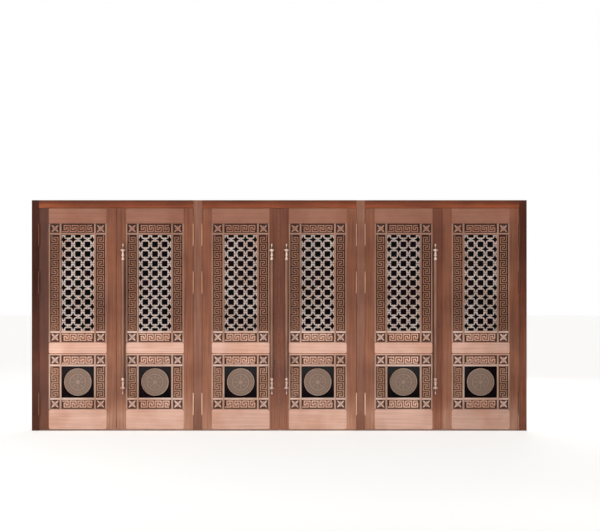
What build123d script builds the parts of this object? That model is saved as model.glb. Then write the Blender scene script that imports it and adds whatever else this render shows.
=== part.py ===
from build123d import *
from math import cos, pi
import os

# Bank of three pairs of bronze entry doors in one frame. Millimetres, +Z up, outer face towards -Y.
# The origin is the middle of the threshold's underside. Leaves are numbered 1 to 6 from the left.

# Frame
frame_depth = 180.0
jamb_width = 95.0
mullion_width = 110.0
head_height = 100.0
threshold_height = 10.0
stop_width = 18.0  # how far the rebate laps the back of a leaf
stop_gap = 3.0  # room for the seal between a leaf's back and the stop
seal_width = 12.0
seal_clearance = 0.3

# Leaves
leaf_width = 1000.0
leaf_height = 2880.0
leaf_thickness = 60.0
side_gap = 3.0
meeting_gap = 4.0
top_gap = 4.0
bottom_gap = 6.0
meeting_bevel = 2.0  # taken off the back of each meeting edge, so that a leaf clears its neighbour

# Stiles, rails and panels of a leaf
stile_width = 121.0
bottom_rail = 266.0
middle_rail = 168.0
top_rail = 200.0
lower_panel = 702.0
rail_plate_inset = 4.0
rail_plate_rise = 1.5
glazing_lip = 16.0  # inner edge of the leaf frame that the glass beds on

# Ornament borders, cast with sunk fields between raised bars
side_bead = 22.0
rail_bead = 10.0
key_column = 120.0
key_row = 110.0
bar_width = 26.0
border_thickness = 26.0
field_depth = 8.0
panel_clearance = 0.5
glass_thickness = 8.0

# Lattice
lattice_thickness = 12.0
lattice_lap = 8.0  # edge of the lattice held in the border's rebate
lattice_rebate_depth = 14.0
lattice_pitch_aim = 126.0
square_share = 0.49  # side of a square hole, as a share of the pitch
star_share = 0.30  # reach of a star hole's tip from its centre, as a share of the pitch

# Medallion
medallion_margin = 27.0  # from the disc's edge to the nearest bar
medallion_base = 8.0
medallion_rim = 13.0
medallion_rim_rise = 6.0
medallion_ring_inset = 72.0
medallion_ring_width = 10.0
medallion_boss_radius = 30.0
medallion_sides = 32  # a disc this large looks round, and stays light

# Hinges
hinge_length = 284.0
bottom_hinge_rise = 350.0  # middle of the lowest hinge above the floor
top_hinge_drop = 346.0  # middle of the highest hinge below the leaf's top
upper_hinge_spacing = 620.0
barrel_radius = 11.0
barrel_sides = 16  # a barrel this small looks round, and all the hinges stay light
barrel_clearance = 0.5
pin_radius = 5.5
pin_clearance = 0.05
knuckle_gap = 0.2
knuckle_cap = 10.0
wing_thickness = 4.0
wing_depth = 40.0
wing_gap = 0.6
wing_root = 8.0  # where the wing starts in the knuckle's wall, from the hinge axis

# Pull bars
pull_radius = 21.0
pull_sides = 12
pull_inset = 93.0  # from the meeting edge
pull_stand_off = 65.0
pull_tip_height = 458.0  # above the leaf's bottom edge
pull_length = 1964.0
# turned end of a pull bar, with heights from its tip
pendant_tip_radius = 6.0
pendant_radius = 14.0
neck_radius = 9.0
neck_start = 58.0
ring_radius = 33.0
ring_bottom = 76.0
ring_top = 103.0
ring_edge = 3.0  # height of the ring's slopes
waist_radius = 15.0
waist_top = 117.0
shoulder_top = 168.0
groove_radius = 16.0
bead_radius = 22.0
bead_bottom = 194.0
bead_top = 213.0
groove_slope = 4.0
post_radius = 11.0
rose_radius = 25.0
rose_thickness = 7.0
pulled_leaves = (2, 3, 4, 5)

# Flush bolts of the leaves that close first
bolted_leaves = (1, 4, 6)
bolt_width = 14.0
bolt_clearance = 0.3
bolt_inset = 40.0
bolt_setback = 1.0
top_bolt_length = 1400.0
bottom_bolt_length = 420.0
top_bolt_travel = 20.0
bottom_bolt_travel = 14.0
knob_stem_width = 8.0
knob_width = 18.0
knob_thickness = 6.0
knob_reach = 12.0
knob_from_end = 20.0
strike_clearance = 1.0
strike_depth = 25.0

# Locks of the leaves that close last
locked_leaves = (2, 3, 5)
outside_key_leaf = 3
lock_height = 893.0  # above the floor
lock_inset = 55.0
cylinder_width = 17.0
cylinder_height = 57.0
inside_cylinder_depth = 30.0
keyway_width = 3.0
keyway_height = 10.0
keyway_depth = 6.0
lock_bolt_rise = 60.0  # bolt centre above the lock
lock_bolt_width = 14.0
lock_bolt_height = 32.0
lock_bolt_length = 70.0

# Fixing holes for the anchors in the wall
fixing_radius = 6.5
fixing_depth = 60.0
fixing_spread = 2400.0
fixing_lowest = 300.0

# Places that follow from the sizes above
face_y = -frame_depth / 2
back_y = frame_depth / 2
leaf_back_y = face_y + leaf_thickness
stop_y = leaf_back_y + stop_gap
bay_width = 2 * (leaf_width + side_gap) + meeting_gap
bay_pitch = bay_width + mullion_width
outer_x = 1.5 * bay_width + mullion_width + jamb_width
leaf_bottom = threshold_height + bottom_gap
head_bottom = leaf_bottom + leaf_height + top_gap
overall_height = head_bottom + head_height
panel_width = leaf_width - 2 * stile_width
border_back_y = face_y + border_thickness
glass_back_y = border_back_y + glass_thickness
hinge_y = face_y - barrel_radius - barrel_clearance
knuckle_length = (hinge_length - knuckle_gap) / 2
centre_width = panel_width - 2 * (side_bead + key_column + bar_width)
centre_height = lower_panel - 2 * (rail_bead + key_row + bar_width)
medallion_radius = min(centre_width, centre_height) / 2 - medallion_margin
bolt_y = (face_y + leaf_back_y) / 2
pull_y = face_y - pull_stand_off
# each panel as (bottom, top) above the leaf's bottom edge
lower_span = (bottom_rail, bottom_rail + lower_panel)
upper_span = (lower_span[1] + middle_rail, leaf_height - top_rail)


def block(x, y, z):
    """A box from its low and high ends along each axis."""
    size = [abs(high - low) for low, high in (x, y, z)]
    return Pos(min(x), min(y), min(z)) * Box(*size, align=(Align.MIN,) * 3)


def upright(radius, height, x, y, z):
    """A round bar standing on z."""
    return Pos(x, y, z) * Cylinder(radius, height, align=(Align.CENTER, Align.CENTER, Align.MIN))


def sided(sides, inner_radius, height, x, y, z):
    """A many-sided bar standing on z, whose flats are at inner_radius from its axis."""
    section = RegularPolygon(inner_radius, sides, major_radius=False)
    return Pos(x, y, z) * extrude(section, height)


def crosswise(radius, length, x, y, z):
    """A round bar that starts at y and runs towards +Y."""
    return Pos(x, y, z) * Rot(-90, 0, 0) * sided(barrel_sides, radius, length, 0, 0, 0)


def sideways(radius, length, x, y, z):
    """A round bar that starts at x and runs towards +X."""
    bar = Cylinder(radius, length, align=(Align.CENTER, Align.CENTER, Align.MIN))
    return Pos(x, y, z) * Rot(0, 90, 0) * bar


def one(shape):
    """The single solid of a cut or joined shape."""
    return shape.solids()[0]


def place(shape, leaf):
    """Moves a piece from the leaf's own axes to the door. Its own x runs from the hinge edge to the meeting edge, its z from the bottom edge, and even leaves are mirrored."""
    bay_x = ((leaf - 1) // 2 - 1) * bay_pitch
    edge = bay_width / 2 - side_gap
    if leaf % 2 == 0:
        return Pos(bay_x + edge, 0, leaf_bottom) * mirror(shape, Plane.YZ)
    return Pos(bay_x - edge, 0, leaf_bottom) * shape


# Leaf pieces, in the leaf's own axes


def hinge_axis_x():
    return -side_gap / 2


def hinge_bottoms():
    """Lower ends of the three hinges, above the leaf's bottom edge."""
    highest = leaf_height - top_hinge_drop
    middles = (bottom_hinge_rise - leaf_bottom, highest - upper_hinge_spacing, highest)
    return [middle - hinge_length / 2 for middle in middles]


def frame_wing(bottom):
    """The half of a hinge that is let into the frame: its plate alone."""
    edge = hinge_axis_x() - wing_gap / 2
    return block(
        (edge - wing_thickness, edge),
        (hinge_y + wing_root, face_y + wing_depth),
        (bottom, bottom + knuckle_length),
    )


def leaf_wing(bottom):
    """The plate of the upper half, let into the leaf's edge."""
    edge = hinge_axis_x() + wing_gap / 2
    start = bottom + knuckle_length + knuckle_gap
    return block(
        (edge, edge + wing_thickness),
        (hinge_y + wing_root, face_y + wing_depth),
        (start, start + knuckle_length),
    )


def barrel_part(radius, height, z):
    """Part of a hinge barrel, its bore or its pin, round the hinge axis."""
    return sided(barrel_sides, radius, height, hinge_axis_x(), hinge_y, z)


def frame_hinge(bottom):
    """Lower knuckle with its fixed pin and its plate."""
    bore_length = knuckle_length - knuckle_cap
    pin_length = knuckle_length + knuckle_gap + bore_length - 2 * knuckle_gap
    pin_flats = pin_radius * cos(pi / barrel_sides)
    knuckle = barrel_part(barrel_radius, knuckle_length, bottom)
    return one(knuckle + barrel_part(pin_flats, pin_length, bottom) + frame_wing(bottom))


def leaf_hinge(bottom):
    """Upper knuckle, bored for the pin and closed at its top, with its plate."""
    start = bottom + knuckle_length + knuckle_gap
    knuckle = barrel_part(barrel_radius, knuckle_length, start)
    bore = barrel_part(pin_radius + pin_clearance, knuckle_length - knuckle_cap, start)
    return one(knuckle + leaf_wing(bottom) - bore)


def bolt_bar(grow, start, end):
    """The square section of a flush bolt between two heights of the leaf."""
    x = leaf_width - bolt_inset
    half = bolt_width / 2 + grow
    return block((x - half, x + half), (bolt_y - half, bolt_y + half), (start, end))


def bolt_knob(grow, low, high):
    """The space of a knob's stem from the bolt to the leaf's back, between two heights."""
    x = leaf_width - bolt_inset
    half = knob_stem_width / 2 + grow
    return block((x - half, x + half), (bolt_y, leaf_back_y), (low - half, high + half))


def bolt_holes(travel, length, from_top):
    """Channel in the meeting stile for a flush bolt, and the slot that its knob slides in."""
    depth = length + travel + bolt_setback
    knob = length + bolt_setback - knob_from_end
    if from_top:
        knob = leaf_height - knob
        channel = bolt_bar(bolt_clearance, leaf_height - depth, leaf_height)
        return channel + bolt_knob(bolt_clearance, knob, knob + travel)
    return bolt_bar(bolt_clearance, 0, depth) + bolt_knob(bolt_clearance, knob - travel, knob)


def flush_bolt(length, from_top):
    """A sliding bar with a knob on a stem that stands out of the leaf's back."""
    x = leaf_width - bolt_inset
    start = leaf_height - bolt_setback - length if from_top else bolt_setback
    height = start + knob_from_end if from_top else start + length - knob_from_end
    half = knob_width / 2
    knob_y = leaf_back_y + knob_reach
    stem = bolt_knob(0, height, height) + block(
        (x - knob_stem_width / 2, x + knob_stem_width / 2),
        (leaf_back_y, knob_y),
        (height - knob_stem_width / 2, height + knob_stem_width / 2),
    )
    knob = block((x - half, x + half), (knob_y - knob_thickness, knob_y), (height - half, height + half))
    return one(bolt_bar(0, start, start + length) + stem + knob)


def lock_bolt_box(clearance, inner_x, outer_x):
    """The space of the square lock bolt between two distances from the hinge edge."""
    z = lock_height - leaf_bottom + lock_bolt_rise
    half_width = lock_bolt_width / 2 + clearance
    half_height = lock_bolt_height / 2 + clearance
    return block(
        (inner_x, outer_x),
        (bolt_y - half_width, bolt_y + half_width),
        (z - half_height, z + half_height),
    )


def lock_bolt():
    end = leaf_width - meeting_bevel - bolt_setback
    return one(lock_bolt_box(0, end - lock_bolt_length, end))


def cylinder_prism(start_y, grow):
    """Round-ended lock body from start_y to the leaf's back."""
    outline = Rot(90, 0, 0) * SlotOverall(cylinder_height + 2 * grow, cylinder_width + 2 * grow, rotation=90)
    height = lock_height - leaf_bottom
    prism = extrude(outline, leaf_back_y - start_y, dir=(0, 1, 0))
    return Pos(leaf_width - lock_inset, start_y, height) * prism


def cylinder_start(leaf):
    return face_y if leaf == outside_key_leaf else leaf_back_y - inside_cylinder_depth


def lock_cylinder(leaf):
    """Lock body with a keyway in its inner end, and in its outer end where the key works from outside."""
    x = leaf_width - lock_inset
    z = lock_height - leaf_bottom
    across = (x - keyway_width / 2, x + keyway_width / 2)
    upright_span = (z - keyway_height / 2, z + keyway_height / 2)
    body = cylinder_prism(cylinder_start(leaf), 0)
    body -= block(across, (leaf_back_y - keyway_depth, leaf_back_y), upright_span)
    if leaf == outside_key_leaf:
        body -= block(across, (face_y, face_y + keyway_depth), upright_span)
    return one(body)


def leaf_frame(leaf):
    """Welded stiles and rails with raised rail plates and an inner lip for the glass, cut out for the leaf's own hardware."""
    outline = Polyline(
        (0, face_y),
        (leaf_width, face_y),
        (leaf_width - meeting_bevel, leaf_back_y),
        (0, leaf_back_y),
        close=True,
    )
    frame = extrude(make_face(outline), leaf_height)
    panel_x = (stile_width, leaf_width - stile_width)
    lip_x = (panel_x[0] + glazing_lip, panel_x[1] - glazing_lip)
    for bottom, top in (lower_span, upper_span):
        frame -= block(panel_x, (face_y, glass_back_y), (bottom, top))
        frame -= block(lip_x, (face_y, leaf_back_y), (bottom + glazing_lip, top - glazing_lip))
    rails = ((0, lower_span[0]), (lower_span[1], upper_span[0]), (upper_span[1], leaf_height))
    for bottom, top in rails:
        frame += block(
            (panel_x[0] + rail_plate_inset, panel_x[1] - rail_plate_inset),
            (face_y - rail_plate_rise, face_y),
            (bottom + rail_plate_inset, top - rail_plate_inset),
        )
    for bottom in hinge_bottoms():
        frame -= leaf_wing(bottom)
    if leaf in bolted_leaves:
        frame -= bolt_holes(top_bolt_travel, top_bolt_length, True)
        frame -= bolt_holes(bottom_bolt_travel, bottom_bolt_length, False)
        frame -= lock_bolt_box(strike_clearance, leaf_width - strike_depth, leaf_width)
    if leaf in locked_leaves:
        inner_end = leaf_width - meeting_bevel - bolt_setback - lock_bolt_length
        frame -= lock_bolt_box(bolt_clearance, inner_end - bolt_clearance, leaf_width)
        frame -= cylinder_prism(cylinder_start(leaf), 0)
    return one(frame)


def centre_opening(span):
    """The middle opening of a border: (x span, z span)."""
    middle = leaf_width / 2
    edge = rail_bead + key_row + bar_width
    across = (middle - centre_width / 2, middle + centre_width / 2)
    return across, (span[0] + edge, span[1] - edge)


def border(span, for_lattice):
    """Cast surround of a panel: raised bars round eight sunk fields and an open middle."""
    left = stile_width + panel_clearance
    right = leaf_width - stile_width - panel_clearance
    bottom, top = span
    surround = block(
        (left, right), (face_y, border_back_y), (bottom + panel_clearance, top - panel_clearance)
    )
    (x0, x1), (z0, z1) = centre_opening(span)
    columns = (
        (x0 - bar_width - key_column, x0 - bar_width),
        (x0, x1),
        (x1 + bar_width, x1 + bar_width + key_column),
    )
    rows = ((z0 - bar_width - key_row, z0 - bar_width), (z0, z1), (z1 + bar_width, z1 + bar_width + key_row))
    for across in columns:
        for upward in rows:
            is_middle = across == columns[1] and upward == rows[1]
            depth = border_thickness if is_middle else field_depth
            surround -= block(across, (face_y, face_y + depth), upward)
    if for_lattice:
        surround -= block(
            (x0 - lattice_lap, x1 + lattice_lap),
            (border_back_y - lattice_rebate_depth, border_back_y),
            (z0 - lattice_lap, z1 + lattice_lap),
        )
    return one(surround)


def lattice():
    """Cast grille of square holes with four-pointed holes between them. Its edge lies in the border's rebate, and holes at the edge are cut off where the opening ends."""
    (x0, x1), (z0, z1) = centre_opening(upper_span)
    width, height = x1 - x0, z1 - z0
    row_count = max(round(height / lattice_pitch_aim), 1)
    pitch = height / row_count
    side_count = int(width / 2 / pitch + star_share) + 1
    square = Rectangle(square_share * pitch, square_share * pitch)
    star = RegularPolygon(star_share * pitch, 4)
    holes = []
    for column in range(-side_count, side_count + 1):
        for row in range(row_count + 1):
            holes.append(Pos(column * pitch, row * pitch - height / 2) * square)
            holes.append(Pos((column + 0.5) * pitch, (row + 0.5) * pitch - height / 2) * star)
    edge = 2 * (lattice_lap - panel_clearance)
    cut = Sketch(children=holes) & Rectangle(width, height)
    plate = Rectangle(width + edge, height + edge) - cut
    front = border_back_y - lattice_thickness
    grille = extrude(Rot(90, 0, 0) * plate, lattice_thickness, dir=(0, 1, 0))
    return one(Pos((x0 + x1) / 2, front, (z0 + z1) / 2) * grille)


def glass():
    """The panes of both panels, between the borders and the leaf frame's lip."""
    across = (stile_width + panel_clearance, leaf_width - stile_width - panel_clearance)
    return [
        one(
            block(
                across,
                (border_back_y, glass_back_y),
                (bottom + panel_clearance, top - panel_clearance),
            )
        )
        for bottom, top in (lower_span, upper_span)
    ]


def disc(radius, low, high, taper=0):
    """One step of the medallion, between two heights above the pane."""
    section = RegularPolygon(radius, medallion_sides)
    return Pos(0, 0, low) * extrude(section, high - low, taper=taper)


def medallion():
    """Cast disc on the lower pane: raised rim, a ring and a bevelled boss."""
    base = medallion_base
    top = base + medallion_rim_rise
    middle = base + medallion_rim_rise / 2
    cast = disc(medallion_radius, 0, top) - disc(medallion_radius - medallion_rim, base, top)
    inner_ring_radius = medallion_radius - medallion_ring_inset
    inner_ring = disc(inner_ring_radius, base, middle)
    cast += inner_ring - disc(inner_ring_radius - medallion_ring_width, base, middle)
    cast += disc(medallion_boss_radius, base, top, 45)
    _, (z0, z1) = centre_opening(lower_span)
    return one(Pos(leaf_width / 2, border_back_y, (z0 + z1) / 2) * Rot(90, 0, 0) * cast)


def pull():
    """Turned bar with a ring and a pendant at each end, on two posts from the meeting stile."""
    # radius and height of each turned step, from the tip up to the plain bar
    end = [
        (pendant_tip_radius, 0),
        (pendant_radius, pendant_radius),
        (neck_radius, neck_start),
        (neck_radius, ring_bottom),
        (ring_radius, ring_bottom + ring_edge),
        (ring_radius, ring_top - ring_edge),
        (waist_radius, waist_top),
        (pull_radius, shoulder_top),
        (groove_radius, shoulder_top + groove_slope),
        (bead_radius, bead_bottom),
        (bead_radius, bead_top),
        (pull_radius, bead_top + groove_slope),
    ]
    other_end = [(radius, pull_length - height) for radius, height in reversed(end)]
    sections = [Pos(0, 0, height) * RegularPolygon(radius, pull_sides) for radius, height in end + other_end]
    x = leaf_width - pull_inset
    bar = Pos(x, pull_y, pull_tip_height) * loft(sections, ruled=True)
    ring_middle = (ring_bottom + ring_top) / 2
    for height in (pull_tip_height + ring_middle, pull_tip_height + pull_length - ring_middle):
        bar += crosswise(post_radius, face_y - pull_y, x, pull_y, height)
        bar += crosswise(rose_radius, rose_thickness, x, face_y - rose_thickness, height)
    return one(bar)


# Frame pieces


def rebated(outline):
    """An upright frame member of the given plan."""
    return extrude(make_face(Polyline(*outline, close=True)), overall_height)


def hinge_pockets(leaves):
    """The hinge plates of these leaves that are let into the frame."""
    return [place(frame_wing(bottom), leaf) for leaf in leaves for bottom in hinge_bottoms()]


def jamb(side):
    """Rebated side member, with blind fixing holes in its wall side. side is -1 for left and 1 for right."""
    inner = outer_x - jamb_width
    outline = [
        (outer_x, face_y),
        (inner, face_y),
        (inner, stop_y),
        (inner - stop_width, stop_y),
        (inner - stop_width, back_y),
        (outer_x, back_y),
    ]
    member = rebated([(side * x, y) for x, y in outline])
    start = outer_x - fixing_depth if side > 0 else -outer_x
    for z in (fixing_lowest, fixing_lowest + fixing_spread):
        member -= sideways(fixing_radius, fixing_depth, start, 0, z)
    member -= hinge_pockets((1,) if side < 0 else (6,))
    return one(member)


def mullion(side):
    """Upright between two pairs, rebated on both sides, standing on the threshold."""
    middle = side * bay_pitch / 2
    half = mullion_width / 2
    wide = half + stop_width
    outline = [
        (-half, face_y),
        (half, face_y),
        (half, stop_y),
        (wide, stop_y),
        (wide, back_y),
        (-wide, back_y),
        (-wide, stop_y),
        (-half, stop_y),
    ]
    member = rebated([(middle + x, y) for x, y in outline])
    member -= block((middle - wide, middle + wide), (face_y, back_y), (0, threshold_height))
    member -= hinge_pockets((2, 3) if side < 0 else (4, 5))
    return one(member)


def bay_middles():
    return (-bay_pitch, 0, bay_pitch)


def strikes(low, high):
    """The holes that the flush bolts enter, between two heights of the frame."""
    bar = bolt_bar(strike_clearance, low - leaf_bottom, high - leaf_bottom)
    return [place(bar, leaf) for leaf in bolted_leaves]


def head_rails():
    """The head's three lengths, between the uprights, with strikes for the top bolts."""
    rails = []
    for middle in bay_middles():
        half = bay_width / 2
        rail = block((middle - half, middle + half), (face_y, stop_y), (head_bottom, overall_height))
        rail += block(
            (middle - half + stop_width, middle + half - stop_width),
            (stop_y, back_y),
            (head_bottom - stop_width, overall_height),
        )
        for strike in strikes(head_bottom, head_bottom + strike_depth):
            rail -= strike
        if middle != 0:
            rail -= upright(fixing_radius, fixing_depth, middle, 0, overall_height - fixing_depth)
        rails.append(one(rail))
    return rails


def threshold():
    """Flat saddle between the jambs, cut through for the bottom bolts."""
    inner = outer_x - jamb_width
    plate = block((-inner, inner), (face_y, stop_y), (0, threshold_height))
    plate += block((-inner + stop_width, inner - stop_width), (stop_y, back_y), (0, threshold_height))
    for strike in strikes(0, threshold_height):
        plate -= strike
    return one(plate)


def frame_seals():
    """Strips on the stops, just clear of the backs of the closed leaves."""
    strips = []
    y = (leaf_back_y + seal_clearance, stop_y)
    half = bay_width / 2 - stop_width
    top = head_bottom - stop_width
    for middle in bay_middles():
        for side in (-1, 1):
            edge = middle + side * half
            strips.append(block((edge, edge + side * seal_width), y, (threshold_height, top)))
        reach = half + seal_width
        strips.append(block((middle - reach, middle + reach), y, (top, top + seal_width)))
    return strips


def write(name, solids):
    """One STEP file for a node, from a solid or a list of solids."""
    shape = Compound(children=solids) if isinstance(solids, list) else solids
    shape.label = name
    export_step(shape, f"parts/{name}.step")


os.makedirs("parts", exist_ok=True)
write("head_rails", head_rails())
write("jamb_left", jamb(-1))
write("jamb_right", jamb(1))
write("mullion_left", mullion(-1))
write("mullion_right", mullion(1))
write("threshold", threshold())
write("frame_seals", frame_seals())
write("frame_hinges", [place(frame_hinge(b), leaf) for leaf in range(1, 7) for b in hinge_bottoms()])

borders = [border(lower_span, False), border(upper_span, True)]
grille = lattice()
panes = glass()
medal = medallion()
hinge_halves = [leaf_hinge(bottom) for bottom in hinge_bottoms()]
pull_bar = pull()
for leaf in range(1, 7):
    write(f"leaf_{leaf}_frame", place(leaf_frame(leaf), leaf))
    write(f"leaf_{leaf}_borders", [place(piece, leaf) for piece in borders])
    write(f"leaf_{leaf}_lattice", place(grille, leaf))
    write(f"leaf_{leaf}_glass", [place(pane, leaf) for pane in panes])
    write(f"leaf_{leaf}_medallion", place(medal, leaf))
    write(f"leaf_{leaf}_hinges", [place(half, leaf) for half in hinge_halves])
    if leaf in pulled_leaves:
        write(f"leaf_{leaf}_pull", place(pull_bar, leaf))
    if leaf in bolted_leaves:
        write(f"leaf_{leaf}_top_bolt", place(flush_bolt(top_bolt_length, True), leaf))
        write(f"leaf_{leaf}_bottom_bolt", place(flush_bolt(bottom_bolt_length, False), leaf))
    if leaf in locked_leaves:
        write(f"leaf_{leaf}_lock_bolt", place(lock_bolt(), leaf))
        write(f"leaf_{leaf}_lock_cylinder", place(lock_cylinder(leaf), leaf))
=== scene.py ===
import math

import bmesh
import bpy
from mathutils import Matrix, Vector


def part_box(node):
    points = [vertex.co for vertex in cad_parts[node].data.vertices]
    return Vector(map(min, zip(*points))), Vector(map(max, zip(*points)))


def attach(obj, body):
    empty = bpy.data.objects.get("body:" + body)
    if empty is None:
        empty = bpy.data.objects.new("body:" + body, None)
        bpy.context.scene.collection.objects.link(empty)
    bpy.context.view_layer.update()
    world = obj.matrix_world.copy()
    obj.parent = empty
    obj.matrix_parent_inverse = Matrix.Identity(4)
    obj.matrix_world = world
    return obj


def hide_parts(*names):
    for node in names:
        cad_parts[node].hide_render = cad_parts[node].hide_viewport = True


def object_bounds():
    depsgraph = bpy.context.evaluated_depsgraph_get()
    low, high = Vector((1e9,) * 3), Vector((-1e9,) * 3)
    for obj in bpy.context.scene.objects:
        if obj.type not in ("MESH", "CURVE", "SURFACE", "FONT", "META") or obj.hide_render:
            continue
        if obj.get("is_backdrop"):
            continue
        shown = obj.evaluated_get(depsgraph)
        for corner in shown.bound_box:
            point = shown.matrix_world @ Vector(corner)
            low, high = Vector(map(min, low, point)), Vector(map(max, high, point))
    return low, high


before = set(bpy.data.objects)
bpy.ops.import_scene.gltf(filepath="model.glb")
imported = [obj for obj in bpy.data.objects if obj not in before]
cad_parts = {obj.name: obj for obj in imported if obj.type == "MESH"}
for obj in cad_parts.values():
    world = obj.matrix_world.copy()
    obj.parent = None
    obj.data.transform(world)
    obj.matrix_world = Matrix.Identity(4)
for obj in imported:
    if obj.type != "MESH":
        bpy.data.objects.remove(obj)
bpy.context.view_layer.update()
scene = bpy.context.scene
scene.view_settings.view_transform = "Standard"

# Camera. It looks level at the doors from the paving in front, a little to the right of their middle,
# and takes them in with room on every side.
VIEWPOINT = (0.27, -17.44, 2.15)
camera_data = bpy.data.cameras.new("camera")
camera_data.lens = 80
camera = bpy.data.objects.new("camera", camera_data)
scene.collection.objects.link(camera)
camera.location = VIEWPOINT
camera.rotation_euler = (math.radians(90), 0, 0)
scene.camera = camera


# Frame. Two jambs, two mullions that run through the head line, and the head in three lengths, all
# folded from bronze sheet and fixed to the wall behind. The folds are eased, and hands and brushes
# keep them brighter than the faces.
def linear(hex_colour):
    """A colour written as sRGB hex, as the linear values that the shaders use."""
    parts = [int(hex_colour[i : i + 2], 16) / 255 for i in (1, 3, 5)]
    return (*[p / 12.92 if p <= 0.04045 else ((p + 0.055) / 1.055) ** 2.4 for p in parts], 1)


def add(tree, kind, inputs=None, **settings):
    """Adds a node with its settings; each input is a value or the socket that feeds it."""
    made = tree.nodes.new(kind)
    for name, value in settings.items():
        setattr(made, name, value)
    for name, value in (inputs or {}).items():
        if isinstance(value, bpy.types.NodeSocket):
            tree.links.new(value, made.inputs[name])
        else:
            made.inputs[name].default_value = value
    return made


CLOUD, WIPE = 526.3, 322.6  # mm across: clouds in the bronze's tone, and the sweep of a toning rag
MARK_RELIEF = 0.0006  # metres; brush marks and casting grain, as deep as they need to be to show


def metal(
    name,
    light,
    dark,
    marks,
    shade=None,
    shade_y=None,
    films=(),
    metallic=0.5,
    roughness=0.42,
):
    """Toned metal, streaked where it was brushed and mottled where it was cast. marks is how far
    apart its brush marks or grains are along x, y and z, in millimetres. shade is a colour painted by
    depth, between two depths (deep, high) of shade_y, in metres: painted shade in hollows, grooves
    and on the sides of round parts, and in the cast borders also the toning left in their hollows.
    Each of the films is painted shade: a colour that darkens it, an axis, and the places where
    it starts and is full."""
    finish = bpy.data.materials.new(name)
    finish.use_nodes = True
    tree = finish.node_tree
    shader = tree.nodes["Principled BSDF"]
    place = add(tree, "ShaderNodeTexCoord").outputs["Object"]
    marks_a_metre = [1000 / apart for apart in marks]
    along = add(tree, "ShaderNodeMapping", {"Vector": place, "Scale": marks_a_metre}).outputs["Vector"]
    brush = add(tree, "ShaderNodeTexNoise", {"Vector": along, "Scale": 1, "Detail": 3, "Roughness": 0.62})
    cloud = add(
        tree,
        "ShaderNodeTexNoise",
        {"Vector": place, "Scale": 1000 / CLOUD, "Detail": 3, "Roughness": 0.55},
    )
    both = add(tree, "ShaderNodeMix", {"Factor": 0.42, "A": brush.outputs["Fac"], "B": cloud.outputs["Fac"]})
    tone = add(tree, "ShaderNodeMapRange", {"Value": both.outputs[0], "From Min": 0.36, "From Max": 0.64})
    colour = add(
        tree,
        "ShaderNodeMix",
        {0: tone.outputs["Result"], 6: linear(dark), 7: linear(light)},
        data_type="RGBA",
    ).outputs[2]
    # toning wiped on by hand, or tarnish, leaves warmer clouds
    wiped = add(tree, "ShaderNodeTexNoise", {"Vector": place, "Scale": 1000 / WIPE, "Detail": 2})
    warmth = add(
        tree,
        "ShaderNodeMapRange",
        {"Value": wiped.outputs["Fac"], "From Min": 0.44, "From Max": 0.68, "To Max": 0.34},
    ).outputs["Result"]
    colour = add(
        tree,
        "ShaderNodeMix",
        {0: warmth, 6: colour, 7: linear("#E0B890")},
        data_type="RGBA",
        blend_type="MULTIPLY",
    ).outputs[2]
    # painted shade: by depth, and along an axis for each of the shade films
    coats = [(shade, "Y", shade_y[1], shade_y[0], "MIX")] if shade else []
    coats += [(*shade_film, "MULTIPLY") for shade_film in films]
    for coat, axis, begins, full, blend in coats:
        cover = add(
            tree,
            "ShaderNodeMapRange",
            {
                "Value": add(tree, "ShaderNodeSeparateXYZ", {"Vector": place}).outputs[axis],
                "From Min": begins,
                "From Max": full,
            },
            interpolation_type="SMOOTHSTEP",
        ).outputs["Result"]
        colour = add(
            tree,
            "ShaderNodeMix",
            {0: cover, 6: colour, 7: linear(coat)},
            data_type="RGBA",
            blend_type=blend,
        ).outputs[2]
    tree.links.new(colour, shader.inputs["Base Color"])
    gloss = add(
        tree,
        "ShaderNodeMapRange",
        {"Value": brush.outputs["Fac"], "To Min": roughness - 0.09, "To Max": roughness + 0.11},
    )
    tree.links.new(gloss.outputs["Result"], shader.inputs["Roughness"])
    bump = add(
        tree,
        "ShaderNodeBump",
        {"Height": brush.outputs["Fac"], "Strength": 0.12, "Distance": MARK_RELIEF},
    )
    tree.links.new(bump.outputs["Normal"], shader.inputs["Normal"])
    shader.inputs["Metallic"].default_value = metallic
    return finish


def shown(name, mesh, materials, body):
    """Puts a finished mesh in the scene, riding on a body of the doors."""
    piece = bpy.data.objects.new(name, mesh)
    scene.collection.objects.link(piece)
    mesh.materials.clear()
    for finish in materials:
        mesh.materials.append(finish)
    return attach(piece, body)


EASE = 0.0012  # metres by which folds and cut edges are eased


def eased(node, flat_y=None):
    """A copy of a solid with its facets joined and its sharp edges eased; the eased strips take the
    second material. Nothing is left proud of flat_y."""
    shape = bmesh.new()
    shape.from_mesh(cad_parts[node].data)
    if flat_y is not None:
        for corner in shape.verts:
            corner.co.y = max(corner.co.y, flat_y)
    bmesh.ops.remove_doubles(shape, verts=shape.verts, dist=1e-5)
    bmesh.ops.dissolve_degenerate(shape, dist=1e-6, edges=shape.edges)
    bmesh.ops.dissolve_limit(shape, angle_limit=math.radians(0.5), verts=shape.verts, edges=shape.edges)
    mesh = bpy.data.meshes.new(node)
    shape.to_mesh(mesh)
    shape.free()
    holder = bpy.data.objects.new(node, mesh)
    scene.collection.objects.link(holder)
    for _ in range(2):
        mesh.materials.append(None)
    bevel = holder.modifiers.new("eased", "BEVEL")
    bevel.width = EASE
    bevel.segments = 2
    bevel.limit_method = "ANGLE"
    bevel.angle_limit = math.radians(40)
    bevel.material = 1
    made = bpy.data.meshes.new_from_object(holder.evaluated_get(bpy.context.evaluated_depsgraph_get()))
    bpy.data.objects.remove(holder)
    # mitred corners of the easing can stand a hair outside the solid
    low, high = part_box(node)
    for corner in made.vertices:
        corner.co = [min(max(at, a), b) for at, a, b in zip(corner.co, low, high)]
    return made


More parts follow.
